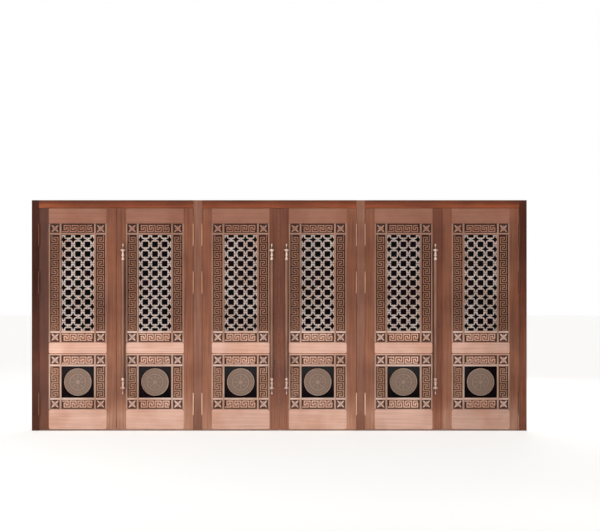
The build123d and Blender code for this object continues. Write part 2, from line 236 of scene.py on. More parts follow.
# Brush marks are about 0.2 mm apart on the real sheet and are drawn a hundred times coarser, so that
# they show as the soft streaks that the eye sees from the street.
MARK_GAP, MARK_LENGTH = 21.74, 714.3
MARKS_UP = (MARK_GAP, MARK_GAP, MARK_LENGTH)
MARKS_ALONG = (MARK_LENGTH, MARK_GAP, MARK_GAP)

# Bronze sheet, brushed lengthwise with an abrasive pad, toned brown with a hot acid wash and waxed: a
# half-dull skin that mirrors its surroundings in streaks. The left jamb's almost black brown is painted
# shade from the wall beside it, and both jambs are painted darker towards the top, for shade; the head
# is the reddest, where rain doesn't reach, and is painted darker along its top edge, for shade.
shaded_bronze = metal(
    "shaded_jamb_bronze",
    "#4C2C22",
    "#301810",
    MARKS_UP,
    # painted shade, darker towards the top
    films=[("#CCB4AA", "Z", 0.8, 2)],
    metallic=0.9,
)
jamb_bronze = metal(
    "jamb_brushed_bronze",
    "#84503C",
    "#543022",
    MARKS_UP,
    # painted shade, darker towards the top
    films=[("#9C8478", "Z", 0.9, 2.7)],
    metallic=0.85,
)
mullion_bronze = metal("mullion_brushed_bronze", "#865A46", "#623A2C", MARKS_UP, metallic=0.6)
head_bronze = metal(
    "head_brushed_bronze",
    "#8A482A",
    "#5E2C17",
    MARKS_ALONG,
    # painted shade, darker along the head's top edge
    films=[("#B0AAA0", "Z", 2.9, 2.995)],
    metallic=0.75,
)
# the same sheet where touch has rubbed the toning off its edges: a thin bright line
worn_bronze = metal("worn_edge_bronze", "#C99A82", "#A8745C", MARKS_UP, roughness=0.32)
for node, finish in (
    ("jamb_left", shaded_bronze),
    ("jamb_right", jamb_bronze),
    ("mullion_left", mullion_bronze),
    ("mullion_right", mullion_bronze),
    ("head_rails", head_bronze),
):
    member = shown(node + "_eased", eased(node), [finish, worn_bronze], "frame")
    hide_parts(node)


# Threshold and seals. The saddle is a flat bronze bar bedded on the floor under the leaves; the seals
# are black rubber strips pressed into the frame's rebates, behind the closed leaves.
SCUFF_GAP, SCUFF_LENGTH = 41.67, 333.3  # mm

# Rolled bronze, scuffed by shoes in the direction of walking, in marks drawn as broad as they need to be
# to show: yellower and shinier than the toned sheet.
threshold_bronze = metal(
    "scuffed_threshold_bronze",
    "#A58A72",
    "#6E5444",
    (SCUFF_GAP, SCUFF_LENGTH, SCUFF_GAP),
    roughness=0.38,
)
threshold = shown("threshold_eased", eased("threshold"), [threshold_bronze, worn_bronze], "frame")
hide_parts("threshold")


def finished(node, finish):
    """Gives a solid its finish, where the solid itself is what is seen."""
    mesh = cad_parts[node].data
    mesh.materials.clear()
    mesh.materials.append(finish)


# Extruded rubber, black with soot, with a fine grain: dull, and greyer on the grain's tops.
RUBBER_GRAIN = 1.11  # mm; drawn ten times coarser than it is, to show close by
rubber = bpy.data.materials.new("black_seal_rubber")
rubber.use_nodes = True
tree = rubber.node_tree
place = add(tree, "ShaderNodeTexCoord").outputs["Object"]
grain = add(tree, "ShaderNodeTexNoise", {"Vector": place, "Scale": 1000 / RUBBER_GRAIN, "Detail": 2})
soot = add(
    tree,
    "ShaderNodeMix",
    {0: grain.outputs["Fac"], 6: linear("#141313"), 7: linear("#232120")},
    data_type="RGBA",
)
dull = add(tree, "ShaderNodeMapRange", {"Value": grain.outputs["Fac"], "To Min": 0.62, "To Max": 0.78})
skin = add(tree, "ShaderNodeBump", {"Height": grain.outputs["Fac"], "Strength": 0.2, "Distance": 0.0002})
rubber_shader = tree.nodes["Principled BSDF"]
tree.links.new(soot.outputs[2], rubber_shader.inputs["Base Color"])
tree.links.new(dull.outputs["Result"], rubber_shader.inputs["Roughness"])
tree.links.new(skin.outputs["Normal"], rubber_shader.inputs["Normal"])
finished("frame_seals", rubber)


# Leaves. Each is two tall stiles welded to three rails, folded from the same bronze sheet. The rails
# carry their own bright plates, made next.
LEAVES = range(1, 7)
LEAF_FACE = -0.09  # metres
# Brushed and toned as the frame is, but thinly, so that more of the pale metal shows. It is painted paler
# near the floor, for the paving's light, and darker upwards from the shin, for shade; the outermost stile
# is painted darker for the wall's shade beside it, and the meeting stiles of leaves 3, 4 and 5 for the
# pull bars' shade.
UPWARD_FILMS = (("#CCB5A2", "Z", 0.1, 0.5), ("#E8DCD0", "Z", 0.95, 1.4))
STILE_FILMS = {
    1: ("#A08470", "X", -2.95, -3.02),
    3: ("#D9C5B6", "X", -0.14, -0.11),
    4: ("#D9C5B6", "X", 0.14, 0.11),
    5: ("#DCC2B0", "X", 1.98, 2.01),
}
for leaf in LEAVES:
    films = UPWARD_FILMS + ((STILE_FILMS[leaf],) if leaf in STILE_FILMS else ())
    leaf_bronze = metal(f"leaf_{leaf}_brushed_bronze", "#BC896F", "#805440", MARKS_UP, films=films)
    node = f"leaf_{leaf}_frame"
    mesh = eased(node, flat_y=LEAF_FACE)
    stiles = shown(f"leaf_{leaf}_stiles", mesh, [leaf_bronze, worn_bronze], f"leaf_{leaf}")
    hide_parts(node)


# Rail plates. Pale bronze sheets with rounded corners, fixed from behind on the three rails of each
# leaf, with a narrow bead under the middle one. They catch the light of the paving.
def skinned(shape, rings):
    """Joins each ring of corners to the next one, which has equally many."""
    for low, high in zip(rings, rings[1:]):
        for i in range(len(low)):
            j = (i + 1) % len(low)
            shape.faces.new((low[i], low[j], high[j], high[i]))


def layered(shape, loops):
    """Skins loops of equally many points one after another and closes both ends."""
    rings = [[shape.verts.new(point) for point in loop] for loop in loops]
    skinned(shape, rings)
    shape.faces.new(rings[0][::-1])
    shape.faces.new(rings[-1])


def rounded(width, height, radius, y, middle_z, steps=6):
    """Points of a rounded rectangle that faces the street, in millimetres."""
    points = []
    for quarter, (sx, sz) in enumerate(((1, 1), (-1, 1), (-1, -1), (1, -1))):
        for step in range(steps + 1):
            angle = math.radians(90 * (quarter + step / steps))
            x = sx * (width / 2 - radius) + radius * math.cos(angle)
            z = sz * (height / 2 - radius) + radius * math.sin(angle)
            points.append((x, y, middle_z + z))
    return points


BAY, LEAF_OFFSET = 2.12, 0.502  # metres: from pair to pair, and from a pair's middle to a leaf's
LEAF_BOTTOM = 0.016  # metres


def leaf_middle(leaf):
    """The middle of a leaf's width and its bottom edge, in metres."""
    bay = ((leaf - 1) // 2 - 1) * BAY
    return bay + (LEAF_OFFSET if leaf % 2 == 0 else -LEAF_OFFSET), LEAF_BOTTOM


def hung(shape, leaf, name, materials, smooth=None):
    """Moves a shape made in millimetres about a leaf's middle to its leaf."""
    mesh = bpy.data.meshes.new(name)
    shape.to_mesh(mesh)
    x, z = leaf_middle(leaf)
    mesh.transform(Matrix.Translation((x, 0, z)) @ Matrix.Scale(0.001, 4))
    if smooth is not None:
        mesh.shade_smooth()
        mesh.set_sharp_from_angle(angle=math.radians(smooth))
    piece = shown(name, mesh, materials, f"leaf_{leaf}")
    return piece


PLATE_WIDTH = 750
# bottom, top and corner radius of each plate, above the leaf's bottom
RAIL_PLATES = ((4, 262, 28), (969, 981, 5), (992, 1133, 18), (2684, 2876, 8))
# the rounding of the front edge: how much is drawn in, both sides together, and its depth
PLATE_EDGE = ((0, -89.6), (0, -91.4), (0.8, -92), (2, -92.2))
# Bronze sheet, brushed from side to side and only lacquered: it has the pink of fresh metal, with fine
# level streaks, and is painted greyer and darker high up, for shade.
plate_bronze = metal(
    "bright_rail_plate_bronze",
    "#D6AC99",
    "#BE9482",
    MARKS_ALONG,
    films=[("#AE9282", "Z", 1.9, 2.5)],
    metallic=0.45,
)
plates = bmesh.new()
for bottom, top, radius in RAIL_PLATES:
    loops = [
        rounded(PLATE_WIDTH - drawn_in, top - bottom - drawn_in, radius - drawn_in / 2, y, (bottom + top) / 2)
        for drawn_in, y in PLATE_EDGE
    ]
    layered(plates, loops)
bmesh.ops.recalc_face_normals(plates, faces=plates.faces)
for leaf in LEAVES:
    hung(plates, leaf, f"leaf_{leaf}_rail_plates", [plate_bronze])
plates.free()


# Borders. A cast bronze surround fills each panel: raised bars with a rounded crown divide it into
# sunk fields, four squares and four strips round an open middle.
def swept(shape, path, profile):
    """Runs a closed profile of (sideways, outwards) points along a path of (x, z) points, mitred at
    the corners. Outwards is measured from the floor of the sunk fields."""
    runs = [(Vector(end) - Vector(start)).normalized() for start, end in zip(path, path[1:])]
    loops = []
    for (x, z), before, after in zip(path, runs[:1] + runs, runs + runs[-1:]):
        mitre = Vector((-before.y - after.y, before.x + after.x)) / (1 + before.dot(after))
        loops.append([(x + mitre.x * side, FLOOR_Y - out, z + mitre.y * side) for side, out in profile])
    layered(shape, loops)


def holed_plate(shape, outer, inner, front, back):
    """A flat plate with a square opening; outer and inner are (x0, x1, z0, z1)."""
    corners = []
    for x0, x1, z0, z1 in (outer, inner):
        for y in (front, back):
            corners.append([shape.verts.new(p) for p in ((x0, y, z0), (x1, y, z0), (x1, y, z1), (x0, y, z1))])
    outer_front, outer_back, inner_front, inner_back = corners
    for i in range(4):
        j = (i + 1) % 4
        shape.faces.new((outer_front[i], outer_front[j], inner_front[j], inner_front[i]))
        shape.faces.new((outer_back[j], outer_back[i], inner_back[i], inner_back[j]))
        shape.faces.new((outer_front[j], outer_front[i], outer_back[i], outer_back[j]))
        shape.faces.new((inner_front[i], inner_front[j], inner_back[j], inner_back[i]))


FLOOR_Y = -82  # floor of the sunk fields, behind the leaf's face at -90
BORDER_BACK = -64
PANELS = ((266, 968), (1136, 2680))  # bottom and top of the lower and of the upper panel
HALF_PANEL, HALF_OPENING = 378.5, 211
SIDE_BEAD, RAIL_BEAD, BAR, KEY_COLUMN, KEY_ROW = 22, 10, 26, 120, 110
PLAY = 0.5  # between a border and its leaf
SUNK = 1  # raised ornament starts this far inside its ground, and bars this far inside each other
crown = [(-BAR / 2, -SUNK), (-BAR / 2, 6), (-11.5, 7.4), (-8.6, 7.6), (-7, 9), (-3.6, 10)]
crown += [(-side, out) for side, out in crown[::-1]]
LOW_BEAD = 0.25  # share of the bars' height that the narrow beads beside the rails have


def squeezed(profile, width, height=1):
    """The same moulding, narrower and, where height is below 1, lower."""
    return [(side * width / BAR, out * height) for side, out in profile]


bars_across, bars_up = bmesh.new(), bmesh.new()
grounds = bmesh.new()
for bottom, top in PANELS:
    low, high = bottom + RAIL_BEAD + KEY_ROW + BAR, top - RAIL_BEAD - KEY_ROW - BAR
    outer = (-HALF_PANEL, HALF_PANEL, bottom + PLAY, top - PLAY)
    holed_plate(grounds, outer, (-HALF_OPENING, HALF_OPENING, low, high), FLOOR_Y, BORDER_BACK)
    for x in (-HALF_OPENING - BAR / 2, HALF_OPENING + BAR / 2):
        swept(bars_up, [(x, bottom + PLAY), (x, top - PLAY)], crown)
    for x in (-HALF_PANEL + SIDE_BEAD / 2, HALF_PANEL - SIDE_BEAD / 2):
        swept(bars_up, [(x, bottom + PLAY), (x, top - PLAY)], squeezed(crown, SIDE_BEAD - PLAY))
    ends = [-HALF_PANEL + SIDE_BEAD, -HALF_OPENING - BAR, -HALF_OPENING, HALF_OPENING]
    ends += [HALF_OPENING + BAR, HALF_PANEL - SIDE_BEAD]
    for start, end in zip(ends[::2], ends[1::2]):
        for z in (low - BAR / 2, high + BAR / 2):
            swept(bars_across, [(start - SUNK, z), (end + SUNK, z)], crown)
        for z in (bottom + PLAY + RAIL_BEAD / 2, top - PLAY - RAIL_BEAD / 2):
            swept(bars_across, [(start - SUNK, z), (end + SUNK, z)], squeezed(crown, RAIL_BEAD, LOW_BEAD))
for shape in (bars_across, bars_up, grounds):
    bmesh.ops.recalc_face_normals(shape, faces=shape.faces)
# Cast bronze, toned dark all over and then rubbed back by hand with pumice: the crowns are bright and
# the hollows stay brown, partly toning and partly painted shade beside the bars. The level bars are
# painted paler than the upright ones, for the paving's light that they face, and both are painted
# darker higher up, for shade.
across_bronze = metal(
    "rubbed_bar_bronze",
    "#DEC2B4",
    "#C4A090",
    MARKS_ALONG,
    "#5A3022",
    (-0.0835, -0.088),
    films=[("#B8A498", "Z", 2.2, 2.5)],
)
up_bronze = metal(
    "bar_bronze",
    "#C4A290",
    "#9A7968",
    MARKS_UP,
    "#4A2618",
    (-0.0845, -0.0895),
    films=[("#D8CAC0", "Z", 1.15, 1.35)],
)
# The casting's own skin: dark, dull and uneven, and painted darker in the upper panel, for shade. The
# grain of the moulding sand is about 0.3 mm, and is drawn a hundred times coarser so that it shows as
# mottling.
CAST_GRAIN = (33.33, 33.33, 33.33)
ground_bronze = metal(
    "dark_ground_bronze",
    "#623626",
    "#3E2216",
    CAST_GRAIN,
    films=[("#8C6858", "Z", 1.28, 1.5)],
    metallic=0.6,
    roughness=0.6,
)
for leaf in LEAVES:
    hung(bars_across, leaf, f"leaf_{leaf}_bars_across", [across_bronze], smooth=35)
    hung(bars_up, leaf, f"leaf_{leaf}_bars_up", [up_bronze], smooth=35)
    ground = hung(grounds, leaf, f"leaf_{leaf}_grounds", [ground_bronze])
    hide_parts(f"leaf_{leaf}_borders")
for shape in (bars_across, bars_up, grounds):
    shape.free()


# Greek keys. One unbroken line winds along each strip of the borders, cast with its ground. The line
# is half as wide as its step, and starts at the left end of a row and at the top of a column.
KEY_STEP, KEY_LINE, KEY_RISE, KEY_EASE = 25.8, 13, 6, 1.4
KEY_START, KEY_SPARE = 1, 10  # ground left free at the line's start, and at a column's ends together
ROW_REPEATS, KEY_REPEAT = 4, 104  # repeats in a row, and about how long one is in a column
COLUMN_X = HALF_OPENING + BAR + KEY_COLUMN / 2
line = [(-KEY_LINE / 2, -SUNK), (-KEY_LINE / 2, KEY_RISE - KEY_EASE), (-KEY_LINE / 2 + KEY_EASE, KEY_RISE)]
line += [(-side, out) for side, out in line[::-1]]
# turns of one repeat, as steps along and across the strip
TURNS = ((0, 3), (3, 3), (3, 1), (2, 1), (2, 2), (1, 2), (1, 0), (4, 0))
REPEAT, HALF_WIDTH = 4, 1.5  # in steps: the length of one repeat, and half of the strip's width
# whether the upper strip of a leaf's lower and of its upper border is turned over; the lower strip is
# the other way round
TURNED_OVER = {1: (0, 0), 2: (0, 0), 3: (1, 1), 4: (1, 1), 5: (1, 0), 6: (0, 0)}


def key_strip(shape, place, repeats, step, turned_over):
    """Casts one strip of the line; place turns distances along and across it into a point."""
    turns = [(along + REPEAT * k, across - HALF_WIDTH) for k in range(repeats) for along, across in TURNS]
    turns[-1] = (REPEAT * repeats - 1, -HALF_WIDTH)  # the line ends a step short of a whole repeat
    swept(shape, [place(a * step, (-c if turned_over else c) * KEY_STEP) for a, c in turns], line)


# Cast bronze with its tops rubbed bright, the rows more than the columns, and dark wax left beside
# the line, so that the pattern reads from the street. Both are painted darker higher up, for shade.
row_bronze = metal(
    "rubbed_key_bronze",
    "#EBC0AA",
    "#C69780",
    CAST_GRAIN,
    "#5A2A1A",
    (-0.083, -0.0866),
    films=[("#BAA498", "Z", 2.2, 2.5)],
)
column_bronze = metal(
    "key_bronze",
    "#B88E76",
    "#8C6850",
    CAST_GRAIN,
    "#3C1E14",
    (-0.083, -0.0866),
    films=[("#DCC8BC", "Z", 1.0, 1.4)],
)
for leaf in LEAVES:
    row_keys, column_keys = bmesh.new(), bmesh.new()
    for (bottom, top), turned_over in zip(PANELS, TURNED_OVER[leaf]):
        middles = bottom + RAIL_BEAD + KEY_ROW / 2, top - RAIL_BEAD - KEY_ROW / 2
        start = KEY_START + KEY_LINE / 2 - HALF_OPENING
        for z, over in zip(middles, (not turned_over, turned_over)):
            key_strip(row_keys, lambda a, c, z=z: (start + a, z - c), ROW_REPEATS, KEY_STEP, over)
        tall = top - bottom - 2 * (RAIL_BEAD + KEY_ROW + BAR)
        repeats = round(tall / KEY_REPEAT)
        first = top - RAIL_BEAD - KEY_ROW - BAR - KEY_START - KEY_LINE / 2
        step = (tall - KEY_SPARE - KEY_LINE) / (REPEAT * repeats - 1)
        for side in (-1, 1):
            x = side * COLUMN_X
            key_strip(column_keys, lambda a, c, x=x: (x + c, first - a), repeats, step, side < 0)
    for shape, name, finish in (
        (row_keys, "row_keys", row_bronze),
        (column_keys, "column_keys", column_bronze),
    ):
        bmesh.ops.recalc_face_normals(shape, faces=shape.faces)
        hung(shape, leaf, f"leaf_{leaf}_{name}", [finish])
        shape.free()


# Rosettes. A cross of four leaf-shaped petals with a button in the middle and a bud between each two
# petals, cast in the corner squares of both borders.
PETAL_START = 3  # from the rosette's middle


def petal(length, width, rise):
    """A pointed petal that runs along x, narrow where it starts, with a ridge along its back."""
    shape = bmesh.new()
    loops = []
    for step in range(9):
        t = step / 8
        half = width / 2 * (math.sin(math.pi * (0.08 + 0.9 * t)) ** 0.8) * (0.55 + 0.6 * t)
        crest = rise * (0.35 + 0.75 * math.sin(math.pi * (0.1 + 0.8 * t)))
        x = PETAL_START + (length - PETAL_START) * t
        flank = [(-half, -SUNK), (-half, 0.28 * crest), (-half * 0.5, 0.62 * crest)]
        across = flank + [(0, crest)] + [(-side, out) for side, out in flank[::-1]]
        loops.append([(x, side, out) for side, out in across])
    layered(shape, loops)
    bmesh.ops.recalc_face_normals(shape, faces=shape.faces)
    return shape


def turned(steps, sides):
    """A shape turned about z from (radius, height) steps, closed at both ends."""
    shape = bmesh.new()
    angles = [2 * math.pi * i / sides for i in range(sides)]
    layered(shape, [[(r * math.cos(a), r * math.sin(a), h) for a in angles] for r, h in steps])
    bmesh.ops.recalc_face_normals(shape, faces=shape.faces)
    return shape


def part(name, shape):
    """A loose object for a tree of repeated parts to copy; it is removed once they are made."""
    mesh = bpy.data.meshes.new(name)
    shape.to_mesh(mesh)
    shape.free()
    made = bpy.data.objects.new(name, mesh)
    scene.collection.objects.link(made)
    return made


def new_tree(name, inputs):
    """A geometry tree with named inputs, and what it makes as its one output."""
    made = bpy.data.node_groups.new(name, "GeometryNodeTree")
    for label, kind in inputs.items():
        made.interface.new_socket(label, in_out="INPUT", socket_type=f"NodeSocket{kind}")
    made.interface.new_socket("Geometry", in_out="OUTPUT", socket_type="NodeSocketGeometry")
    return made, add(made, "NodeGroupInput").outputs


def close_tree(made, geometry, finish):
    """Ends a tree with real geometry in one material."""
    real = add(made, "GeometryNodeRealizeInstances", {"Geometry": geometry})
    coated = add(made, "GeometryNodeSetMaterial", {"Geometry": real.outputs[0], "Material": finish})
    add(made, "NodeGroupOutput", {"Geometry": coated.outputs[0]})


def grown(made, points, values):
    """The plain shape that a tree makes from a list of points and its input values."""
    mesh = bpy.data.meshes.new(made.name)
    mesh.from_pydata(points, [], [])
    holder = bpy.data.objects.new(made.name, mesh)
    scene.collection.objects.link(holder)
    modifier = holder.modifiers.new(made.name, "NODES")
    modifier.node_group = made
    for item in made.interface.items_tree:
        if item.in_out == "INPUT" and item.name in values:
            modifier[item.identifier] = values[item.name]
    result = bpy.data.meshes.new_from_object(holder.evaluated_get(bpy.context.evaluated_depsgraph_get()))
    bpy.data.objects.remove(holder)
    shape = bmesh.new()
    shape.from_mesh(result)
    return shape


def copied(tree, given, kind):
    """The shape of the loose part that an input of the tree names."""
    return add(tree, "GeometryNodeObjectInfo", {"Object": given[kind]}).outputs["Geometry"]


def rings_of(tree, given, kinds):
    """For each (count, part, first turn), copies of the named part turned evenly about z."""
    made = []
    for number, kind, first in kinds:
        points = add(tree, "GeometryNodeMeshLine", {"Count": given[number], "Offset": (0, 0, 0)})
        turn = add(tree, "ShaderNodeMath", {0: 2 * math.pi, 1: given[number]}, operation="DIVIDE").outputs[0]
        index = add(tree, "GeometryNodeInputIndex").outputs[0]
        angle = add(
            tree,
            "ShaderNodeMath",
            {0: index, 1: turn, 2: first},
            operation="MULTIPLY_ADD",
        ).outputs[0]
        ring = add(
            tree,
            "GeometryNodeInstanceOnPoints",
            {
                "Points": points.outputs["Mesh"],
                "Instance": copied(tree, given, kind),
                "Rotation": add(tree, "ShaderNodeCombineXYZ", {"Z": angle}).outputs[0],
            },
        )
        made.append(ring.outputs[0])
    return made


def facing(tree, given, sources):
    """The joined sources, copied to each point of the tree and turned to face the street."""
    flower = add(tree, "GeometryNodeJoinGeometry")
    for source in sources:
        tree.links.new(source, flower.inputs[0])
    return add(
        tree,
        "GeometryNodeInstanceOnPoints",
        {"Points": given["Geometry"], "Instance": flower.outputs[0], "Rotation": (math.pi / 2, 0, 0)},
    ).outputs[0]


# Cast bronze, rubbed on the petals until they are paler than the keys, so that a cross stands out of
# the dark ground, and painted darker in the top row, for shade.
rosette_bronze = metal(
    "rosette_bronze",
    "#F8DCCE",
    "#D6B09C",
    CAST_GRAIN,
    "#6A402C",
    (-0.083, -0.0857),
    films=[("#CEB6AA", "Z", 2.2, 2.5)],
)
rosettes, given = new_tree(
    "rosettes",
    {"Geometry": "Geometry", "Petal": "Object", "Bud": "Object", "Button": "Object", "Petals": "Int"},
)
petals = rings_of(rosettes, given, (("Petals", "Petal", math.pi / 4), ("Petals", "Bud", 0)))
button = copied(rosettes, given, "Button")
close_tree(rosettes, facing(rosettes, given, [*petals, button]), rosette_bronze)
squares = [
    (x, FLOOR_Y, z)
    for bottom, top in PANELS
    for z in (bottom + RAIL_BEAD + KEY_ROW / 2, top - RAIL_BEAD - KEY_ROW / 2)
    for x in (-COLUMN_X, COLUMN_X)
]
loose = {
    "Petal": part("petal", petal(length=64, width=27, rise=7.5)),
    "Bud": part("bud", petal(length=42, width=14, rise=4.2)),
    "Button": part("button", turned([(9, -SUNK), (8.4, 5), (6.4, 7.4), (2.4, 8.4)], sides=14)),
}
flowers = grown(rosettes, squares, {**loose, "Petals": 4})
for leaf in LEAVES:
    hung(flowers, leaf, f"leaf_{leaf}_rosettes", [rosette_bronze], smooth=40)
flowers.free()
for made in loose.values():
    bpy.data.objects.remove(made)


# Lattices. Each upper panel holds a grille, cast in one plate: square holes with a hole like a star
# between each four. A raised rim runs round every star, with a groove between two neighbours that is
# painted dark, for shade.
ROWS, COLUMNS = 10, 4
PITCH = (PANELS[1][1] - PANELS[1][0] - 2 * (RAIL_BEAD + KEY_ROW + BAR)) / ROWS
SQUARE = 0.2 * PITCH  # from a star's middle to the near side of a square hole
BOW = 0.012 * PITCH  # the holes' sides bend inwards this much
TIP, TIP_HALF = 0.36 * PITCH, 5.4  # reach of a star's points, and half the width of their blunt ends
WAIST = 0.194 * PITCH  # how far a star reaches between its points
STAR_HEIGHT = 0.95  # stars are a little wider than high
GRILLE_LAP = 7  # edge of the grille held in the border's rebate
# from the back of a star's hole over its rim: how much wider, and how far out from the grille's back
STAR_STEPS = ((0, 0), (0, 9), (0.8, 11), (1.8, 12.4), (3.4, 13.2))
# on to the back of the tile's edge: reach as a share of the pitch, how far the notches draw in, and
# the heights beside the star, above and below it, and at the notches. The grooves above and below a
# star lie deeper, so that the painted depth shade darkens them more, as shade from light above.
TILE_STEPS = (
    (0.46, 3, 13, 13, 12.6),
    (0.475, 1, 11.6, 10.6, 11.6),
    (0.482, 0, 10.2, 8.8, 10),
    (0.5, 0, 9.8, 8.6, 9.6),
    (0.5, 0, 0, 0, 0),
)


def star(grow):
    """A four-pointed outline with hollow sides, moved outwards by grow and rounded round its tips."""
    from_middle = (TIP**2 + TIP_HALF**2 - WAIST**2) / (math.sqrt(2) * (TIP + TIP_HALF) - 2 * WAIST)
    middle = Vector((from_middle, from_middle)) / math.sqrt(2)  # of the round that hollows a side
    radius = from_middle - WAIST
    start = math.atan2(TIP_HALF - middle.y, TIP - middle.x) % (2 * math.pi)
    end = math.atan2(TIP - middle.y, TIP_HALF - middle.x) % (2 * math.pi)
    tip_side = (start + math.pi) % (2 * math.pi)
    fan = [tip_side * step / 3 for step in range(3)]
    corner = [Vector((math.cos(angle), math.sin(angle))) for angle in fan]
    points = []
    for quarter in range(4):
        turn = Matrix.Rotation(quarter * math.pi / 2, 2)
        points += [turn @ (Vector((TIP, TIP_HALF)) + grow * away) for away in corner]
        for step in range(5):
            angle = start + (end - start) * step / 4
            points.append(turn @ (middle + (radius - grow) * Vector((math.cos(angle), math.sin(angle)))))
        points += [turn @ (Vector((TIP_HALF, TIP)) + grow * away.yx) for away in corner[::-1]]
    return [Vector((point.x, point.y * STAR_HEIGHT)) for point in points]


def tile_outline(reach, inset, upright, level, rim):
    """An outline round one star's piece of grille, notched by a quarter of each square hole, with a
    point and a height for each point of the star: upright and level are the heights where it meets the
    pieces beside it and those above and below, and rim is the height at the notches."""
    near = SQUARE - inset
    quarter = [(reach, near * share) for share in (0.2, 0.5, 0.8)] + [(reach, near + BOW)]
    quarter += [((reach + near) / 2, near + BOW / 2), (near, near), (near + BOW / 2, (reach + near) / 2)]
    quarter += [(near + BOW, reach)] + [(near * share, reach) for share in (0.8, 0.5, 0.2)]
    points = []
    for q in range(4):
        turn = Matrix.Rotation(q * math.pi / 2, 2)
        first, last = (level, upright) if q % 2 else (upright, level)
        heights = [first] * 4 + [rim] * 3 + [last] * 4
        points += [(turn @ Vector(p), out) for p, out in zip(quarter, heights)]
    return points


tile = bmesh.new()
outlines = [[(p, out) for p in star(grow)] for grow, out in STAR_STEPS]
outlines += [tile_outline(reach * PITCH, *rest) for reach, *rest in TILE_STEPS]
rings = [[tile.verts.new((p.x, BORDER_BACK - out, p.y)) for p, out in points] for points in outlines]
skinned(tile, rings + rings[:1])
# nothing closes a tile where the next one joins it
joins = []
for face in tile.faces:
    middle = face.calc_center_median()
    face.normal_update()
    if abs(face.normal.y) < 0.1 and max(abs(middle.x), abs(middle.z)) > PITCH / 2 - 0.01:
        joins.append(face)
bmesh.ops.delete(tile, geom=joins, context="FACES")
bmesh.ops.recalc_face_normals(tile, faces=tile.faces)

# Cast bronze, pickled pale and left unwaxed: greyish and duller than the borders, and painted darker
# with depth, for shade in the grooves.
lattice_bronze = metal(
    "pale_lattice_bronze",
    "#D4C2BA",
    "#A6938A",
    CAST_GRAIN,
    "#402B23",
    (-0.0722, -0.0757),
    metallic=0.4,
)
grille, given = new_tree(
    "grille",
    {
        "Geometry": "Geometry",
        "Tile": "Object",
        "Columns": "Int",
        "Rows": "Int",
        "Pitch": "Float",
        "Middle": "Vector",
    },
)
spans = []
for number in ("Columns", "Rows"):
    gaps = add(grille, "ShaderNodeMath", {0: given[number], 1: 1}, operation="SUBTRACT").outputs[0]
    spans.append(add(grille, "ShaderNodeMath", {0: gaps, 1: given["Pitch"]}, operation="MULTIPLY").outputs[0])
places = add(
    grille,
    "GeometryNodeMeshGrid",
    {"Size X": spans[0], "Size Y": spans[1], "Vertices X": given["Columns"], "Vertices Y": given["Rows"]},
)
upright = add(
    grille,
    "GeometryNodeTransform",
    {"Geometry": places.outputs["Mesh"], "Rotation": (math.pi / 2, 0, 0), "Translation": given["Middle"]},
)
tiles = add(
    grille,
    "GeometryNodeInstanceOnPoints",
    {"Points": upright.outputs[0], "Instance": copied(grille, given, "Tile")},
)
close_tree(grille, tiles.outputs[0], lattice_bronze)
loose_tile = part("tile", tile)
values = {
    "Tile": loose_tile,
    "Columns": COLUMNS,
    "Rows": ROWS,
    "Pitch": PITCH,
    "Middle": (0, 0, sum(PANELS[1]) / 2),
}
grille_plate = grown(grille, [], values)
bpy.data.objects.remove(loose_tile)
bmesh.ops.remove_doubles(grille_plate, verts=grille_plate.verts, dist=0.01)
for side in (-1, 1):
    bmesh.ops.bisect_plane(
        grille_plate,
        geom=grille_plate.verts[:] + grille_plate.edges[:] + grille_plate.faces[:],
        plane_co=(side * (HALF_OPENING + GRILLE_LAP), 0, 0),
        plane_no=(side, 0, 0),
        clear_outer=True,
    )
open_edges = [edge for edge in grille_plate.edges if edge.is_boundary]
bmesh.ops.holes_fill(grille_plate, edges=open_edges, sides=0)
bmesh.ops.recalc_face_normals(grille_plate, faces=grille_plate.faces)
for leaf in LEAVES:
    piece = hung(grille_plate, leaf, f"leaf_{leaf}_grille", [lattice_bronze], smooth=50)
    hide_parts(f"leaf_{leaf}_lattice")
grille_plate.free()


# Panes. Sheets of dark glass, 8 mm thick, lie behind each grille and each medallion, bedded on the
# leaf's inner lip.
TINT_CLOUD, RIPPLE = 200, 454.5  # mm across: clouds in the tint, and the slow waves of the sheet

# Float glass, tinted in the melt and coated against glare, with the unlit hall behind it: almost black,
# green in places and violet in others, with little to mirror and a breath of dust.
pane = bpy.data.materials.new("dark_tinted_glass")
pane.use_nodes = True
tree = pane.node_tree
place = add(tree, "ShaderNodeTexCoord").outputs["Object"]
tint_cloud = add(tree, "ShaderNodeTexNoise", {"Vector": place, "Scale": 1000 / TINT_CLOUD, "Detail": 2})
violet = add(
    tree,
    "ShaderNodeMapRange",
    {"Value": tint_cloud.outputs["Fac"], "From Min": 0.4, "From Max": 0.6},
)
tint = add(
    tree,
    "ShaderNodeMix",
    {0: violet.outputs["Result"], 6: linear("#060B0A"), 7: linear("#160810")},
    data_type="RGBA",
)
glass_shader = tree.nodes["Principled BSDF"]
tree.links.new(tint.outputs[2], glass_shader.inputs["Base Color"])
ripple = add(tree, "ShaderNodeTexNoise", {"Vector": place, "Scale": 1000 / RIPPLE, "Detail": 1})
waves = add(tree, "ShaderNodeBump", {"Height": ripple.outputs["Fac"], "Strength": 0.05, "Distance": 0.01})
tree.links.new(waves.outputs["Normal"], glass_shader.inputs["Normal"])
dust = add(tree, "ShaderNodeMapRange", {"Value": tint_cloud.outputs["Fac"], "To Min": 0.08, "To Max": 0.12})
tree.links.new(dust.outputs["Result"], glass_shader.inputs["Roughness"])
glass_shader.inputs["Specular IOR Level"].default_value = 0.02
for leaf in LEAVES:
    finished(f"leaf_{leaf}_glass", pane)


